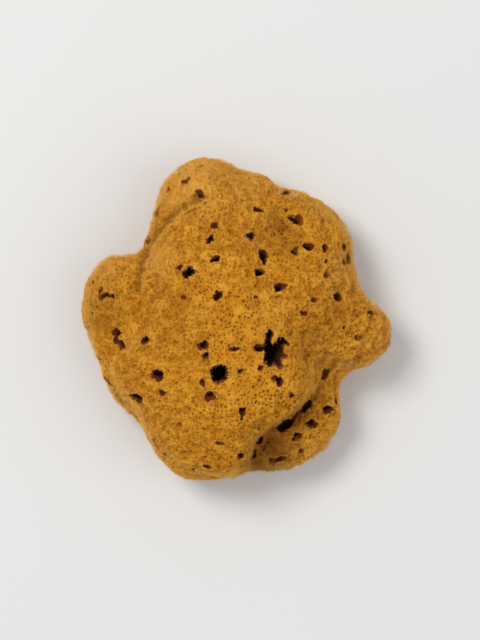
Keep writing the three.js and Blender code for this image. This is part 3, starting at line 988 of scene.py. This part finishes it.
def rim_fringe(body, finish):
    """Stiffer fibres that stand in from the rims of the deep oscules, over their dark channels."""
    tree = BVHTree.FromObject(body, bpy.context.evaluated_depsgraph_get())
    random = np.random.default_rng(SEED + 1)
    spacing, rooting = 0.42, 0.4 * MM
    vertices, faces, tones = [], [], []
    for x, y, half_a, half_b, _, deep in OSCULES:
        if deep < DEEP:
            continue
        level = rim_level(tree, x, y, half_a + 1.2, half_b + 1.2)
        for _ in range(round(2 * math.pi * max(half_a, half_b) / spacing)):
            angle = random.uniform(0, 2 * math.pi)
            out = Vector((math.cos(angle), math.sin(angle), 0))
            start = Vector((x * MM, y * MM, level - random.uniform(0.2, 1.6) * MM))
            root = tree.ray_cast(start, out)[0]
            if root is None or (root - start).length > 1.8 * max(half_a, half_b) * MM:
                continue
            side = Vector((-out.y, out.x, 0)) * random.uniform(-0.45, 0.45)
            way = (-out + side + Vector((0, 0, random.uniform(-0.1, 0.75)))).normalized()
            length = random.uniform(0.15, 0.45) * min(half_a, half_b) * MM
            half = random.uniform(0.09, 0.16) * MM
            across = way.cross(Vector((0, 0, 1))).normalized()
            up = across.cross(way)
            first = len(vertices)
            foot = root - way * rooting
            vertices += [foot + across * half, foot - across * 0.5 * half + up * 0.87 * half,
                         foot - across * 0.5 * half - up * 0.87 * half, foot + way * (length + rooting)]
            faces += [tuple(first + corner for corner in face)
                      for face in ((2, 1, 0), (0, 1, 3), (1, 2, 3), (2, 0, 3))]
            tones += [random.uniform()] * 4
    mesh = bpy.data.meshes.new("rim_fringe")
    mesh.from_pydata([tuple(v) for v in vertices], [], faces)
    set_values(mesh, "fibre_tone", 0.3 * np.array(tones))
    up = mesh.attributes.new("skin_out", "FLOAT_VECTOR", "POINT")
    up.data.foreach_set("vector", np.tile((0.0, 0.0, 1.0), len(mesh.vertices)).astype(np.float32))
    mesh.materials.append(finish)
    return new_object("rim_fringe", mesh)


# ---------------------------------------------------------------- finishes
def open_finish(name):
    made = bpy.data.materials.new(name)
    made.use_nodes = True
    return made, made.node_tree, made.node_tree.nodes["Principled BSDF"]


def paint(name):
    """A named colour, in the linear values that shaders take."""
    return tuple((c / 255 / 12.92 if c <= 10 else ((c / 255 + 0.055) / 1.055) ** 2.4)
                 for c in COLOURS[name]) + (1.0,)


def tinted(tree, share, colour, name):
    """Mixes a share of a named colour into a colour."""
    made = node(tree, "ShaderNodeMix", {0: share, 6: colour, 7: paint(name)}, data_type="RGBA")
    return made.outputs[2]


def set_shader(shader, **values):
    """Sets the values that are the same all over a finish, on the shader's own sockets."""
    for label, value in values.items():
        shader.inputs[label.replace("_", " ")].default_value = value


def spongin_group():
    """The golden colour of dry sponge fibre, which drifts over the sponge, with its brown stains. It also
    paints shade between the clumps and in dents, dips and folds, and a pale sheen on the steep sides.
    """
    tree = bpy.data.node_groups.new("spongin colour", "ShaderNodeTree")
    face = tree.interface
    face.new_socket("Place", in_out="INPUT", socket_type="NodeSocketVector")
    for label in ("Stain", "Down", "Lift"):
        face.new_socket(label, in_out="INPUT", socket_type="NodeSocketFloat")
    face.new_socket("Color", in_out="OUTPUT", socket_type="NodeSocketColor")
    given = tree.nodes.new("NodeGroupInput").outputs
    place = given["Place"]
    drift = noise(tree, place, WAVES["drift"], 3.0)[0]
    bright = noise(tree, place, WAVES["bright"], 3.0)[0]
    grain = noise(tree, place, WAVES["grain"], 2.0)[0]
    colour = paint("gold")
    for share, name in (
        (ramped(tree, drift, 0.35, 0.65), "amber"),
        (ramped(tree, bright, 0.44, 0.64, 0.0, 0.6), "bright gold"),
        # painted shade: the hollows between the clumps are darkened
        (maths(tree, "MULTIPLY", clumps(tree, place), 0.55), "painted shade between clumps"),
        (ramped(tree, grain, 0.45, 0.7, 0.0, 0.4), "grain"),
        # the pale fuzz colour is real fuzz, and also a painted sheen on the steep sides and a painted
        # highlight on fold lips
        (maths(tree, "MULTIPLY", given["Down"], 0.8), "down_and_sheen"),
        (given["Lift"], "pale straw"),
        # the stains' brown is also painted shade in dents, dips and at the foot of each fold
        (maths(tree, "MULTIPLY", given["Stain"], 0.88), "stain_and_shade"),
    ):
        colour = tinted(tree, share, colour, name)
    node(tree, "NodeGroupOutput", {"Color": colour})
    return tree


def pore_group():
    """How far inside a pore each place lies, and how high the felted fibres between the pores stand."""
    tree = bpy.data.node_groups.new("open pores", "ShaderNodeTree")
    face = tree.interface
    face.new_socket("Place", in_out="INPUT", socket_type="NodeSocketVector")
    for label, value in (("Pitch", PORE_PITCH * MM), ("Wall", PORE_WALL * MM), ("Warp", PORE_WARP * MM)):
        face.new_socket(label, in_out="INPUT", socket_type="NodeSocketFloat").default_value = value
    for label in ("Pore", "Felt"):
        face.new_socket(label, in_out="OUTPUT", socket_type="NodeSocketFloat")
    given = tree.nodes.new("NodeGroupInput").outputs
    inside = pores(tree, given["Place"], given["Pitch"], given["Wall"], given["Warp"])
    felt = noise(tree, given["Place"], WAVES["felt"], 2.0)[0]
    node(tree, "NodeGroupOutput", {"Pore": inside, "Felt": felt})
    return tree


def attribute(tree, name, vector=False):
    """A stored value of the mesh, read in a material."""
    made = node(tree, "ShaderNodeAttribute", attribute_name=name, attribute_type="GEOMETRY")
    return made.outputs["Vector" if vector else "Fac"]


def group(tree, made, inputs):
    """A node group set in a tree, with its inputs linked."""
    placed = node(tree, "ShaderNodeGroup", node_tree=made)
    for label, value in inputs.items():
        tree.links.new(value, placed.inputs[label])
    return placed.outputs


def body_finish(tone_group, pores_group):
    """Golden walls; the darker gaps, pores and channels in the colour are painted shade."""
    made, tree, shader = open_finish("porous spongin")
    place = attribute(tree, "grown_spot", vector=True)
    colour = group(tree, tone_group, {
        "Place": place, "Stain": attribute(tree, "stain_and_shade"), "Down": attribute(tree, "down_and_sheen"),
    })["Color"]
    holes = group(tree, pores_group, {"Place": place})
    felt = holes["Felt"]
    clarity = ramped(tree, attribute(tree, "clear"), 0.1, 0.9, 0.12, 1.0, "LINEAR")
    pore = maths(tree, "MULTIPLY", holes["Pore"], clarity)
    gap = gaps(tree, place, attribute(tree, "clear"))
    # painted shade: the gaps between the tufts are darkened
    colour = tinted(tree, maths(tree, "MULTIPLY", gap, 0.65), colour, "gap")
    # painted shade: the pores are darkened on top of the shade their pits cast
    colour = tinted(tree, maths(tree, "MULTIPLY", pore, 0.68), colour, "pore")
    # painted shade inside channels and pockets, darker with depth
    colour = painted_hollow_shade(tree, attribute(tree, "sunk"), colour)
    tree.links.new(colour, shader.inputs["Base Color"])
    tree.links.new(ramped(tree, felt, 0.3, 0.7, 0.84, 0.97, "LINEAR"), shader.inputs["Roughness"])
    low = maths(tree, "MULTIPLY", maths(tree, "MAXIMUM", pore, gap), 0.8)
    height = maths(tree, "SUBTRACT", maths(tree, "MULTIPLY", felt, 0.35), low)
    bump = node(tree, "ShaderNodeBump", {"Strength": 0.7, "Distance": 0.45 * MM, "Height": height})
    tree.links.new(bump.outputs[0], shader.inputs["Normal"])
    set_shader(shader, Specular_IOR_Level=0.06)
    set_shader(shader, Sheen_Weight=0.12, Sheen_Roughness=0.4, Sheen_Tint=paint("body sheen"))
    return made


def painted_hollow_shade(tree, sunk, skin):
    """Painted shade in channels and pockets: red-brown from just inside a mouth, and near black where the
    channel is deep.
    """
    colour = tinted(tree, ramped(tree, sunk, 0.4 * MM, 1.4 * MM, 0.0, 0.92), skin, "mouth")
    return tinted(tree, ramped(tree, sunk, 1.8 * MM, 4.6 * MM, 0.0, 0.94), colour, "painted shade deep in channels")


def hollow_shade_finish(tone_group):
    """Walls of channels and pockets darkened by painted shade, with lighter strands."""
    made, tree, shader = open_finish("spongin of the hollows with painted shade")
    place = attribute(tree, "grown_spot", vector=True)
    strands = noise(tree, place, WAVES["strands"], 2.0)[0]
    colour = group(tree, tone_group, {"Place": place})["Color"]
    colour = painted_hollow_shade(tree, attribute(tree, "sunk"), colour)
    colour = tinted(tree, ramped(tree, strands, 0.5, 0.7, 0.0, 0.3), colour, "strand")
    tree.links.new(colour, shader.inputs["Base Color"])
    tree.links.new(ramped(tree, strands, 0.3, 0.7, 0.88, 1.0, "LINEAR"), shader.inputs["Roughness"])
    bump = node(tree, "ShaderNodeBump", {"Strength": 0.7, "Distance": 0.4 * MM, "Height": strands})
    tree.links.new(bump.outputs[0], shader.inputs["Normal"])
    set_shader(shader, Specular_IOR_Level=0.05)
    return made


def fibre_finish(tone_group, name, least, most):
    """Fibres take the sponge's colour, each lifted by its own share towards pale straw.

    Where the skin stands upright, round the sponge's widest line, all of them are paler, as a painted sheen
    that a fold's shelter weakens."""
    made, tree, shader = open_finish(name)
    lift = ramped(tree, attribute(tree, "fibre_tone"), 0.0, 1.0, least, most, "LINEAR")
    rise = part_of(tree, attribute(tree, "skin_out", vector=True), "Z")
    # painted sheen: fibres on upright skin are paled towards straw, less where a fold shelters them
    rim = maths(tree, "MULTIPLY", ramped(tree, rise, 0.42, 0.08, 0.0, 0.85), ramped(tree, rise, -0.3, 0.05))
    rim = maths(tree, "MULTIPLY", rim, ramped(tree, attribute(tree, "sheltered"), 0.0, 1.0, 1.0, 0.2))
    colour = group(tree, tone_group, {
        "Place": node(tree, "ShaderNodeTexCoord").outputs["Object"], "Stain": attribute(tree, "stain_and_shade"),
        "Down": attribute(tree, "down_and_sheen"), "Lift": maths(tree, "MAXIMUM", lift, rim),
    })["Color"]
    # painted shade: fibres in the gaps between tufts are darkened
    colour = tinted(tree, maths(tree, "MULTIPLY", attribute(tree, "gap"), 0.5), colour, "painted shade of fibres in gaps")
    tree.links.new(colour, shader.inputs["Base Color"])
    set_shader(shader, Roughness=0.8, Specular_IOR_Level=0.1)
    set_shader(shader, Sheen_Weight=0.1, Sheen_Tint=paint("fibre sheen"))
    return made


def floor_finish():
    made, tree, shader = open_finish("pale floor")
    place = node(tree, "ShaderNodeTexCoord").outputs["Object"]
    cloud = noise(tree, place, 3.0, 2.0)[0]
    tree.links.new(tinted(tree, cloud, paint("floor"), "floor cloud"), shader.inputs["Base Color"])
    set_shader(shader, Roughness=0.9)
    return made


# ---------------------------------------------------------------- the room
def make_camera():
    """Straight above, in portrait, with the sponge a little above the middle of the view."""
    height, middle, sensor = 1200, 25, 36
    view_height = 640 * 0.43  # what the long side of the view takes in, at the sponge's middle height
    eye = bpy.data.cameras.new("camera")
    eye.lens = sensor / view_height * (height - middle)
    eye.sensor_width = sensor
    eye.clip_start, eye.clip_end = 0.01, 20
    camera = new_object("camera", eye)
    camera.location = Vector((1.6, -0.6, height)) * MM
    bpy.context.scene.camera = camera


def make_light(name, power, size, place, aim=(0, 0, 0.03), colour=(1, 1, 1)):
    lamp = bpy.data.lights.new(name, "AREA")
    lamp.energy = power
    lamp.size = size
    lamp.color = colour
    light = new_object(name, lamp)
    light.location = place
    light.rotation_euler = (Vector(aim) - Vector(place)).to_track_quat("-Z", "Y").to_euler()


def make_room():
    """A pale floor, two soft lights and an even sky."""
    mesh = bpy.data.meshes.new("floor")
    reach = 3.0
    corners = [(-reach, -reach, 0), (reach, -reach, 0), (reach, reach, 0), (-reach, reach, 0)]
    mesh.from_pydata(corners, [], [(0, 1, 2, 3)])
    floor = new_object("floor", mesh)
    floor.location.z = -0.0001
    mesh.materials.append(floor_finish())
    make_light("key_light", 11.8, 0.55, (-0.6, 0.46, 1.3), colour=(1, 0.98, 0.95))
    make_light("fill_light", 4.0, 1.2, (0.9, -0.3, 1.1))
    world = bpy.data.worlds.new("studio")
    world.use_nodes = True
    set_shader(world.node_tree.nodes["Background"], Color=(0.96, 0.97, 1, 1), Strength=0.5)
    bpy.context.scene.world = world
    bpy.context.scene.view_settings.view_transform = "Standard"


make_camera()
make_room()
spongin = spongin_group()
body = sponge_body(body_finish(spongin, pore_group()), hollow_shade_finish(spongin))
gold = fibre_finish(spongin, "golden spongin fibre", 0.0, 0.25)
# the side fibres are paler: partly their own pale tips, partly a painted sheen
straw = fibre_finish(spongin, "straw spongin fibre", 0.1, 0.5)
pieces = [body, *fibre_pieces(body, gold, straw), rim_fringe(body, gold)]
for piece in pieces:
    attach(piece, "root")
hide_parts("sponge")
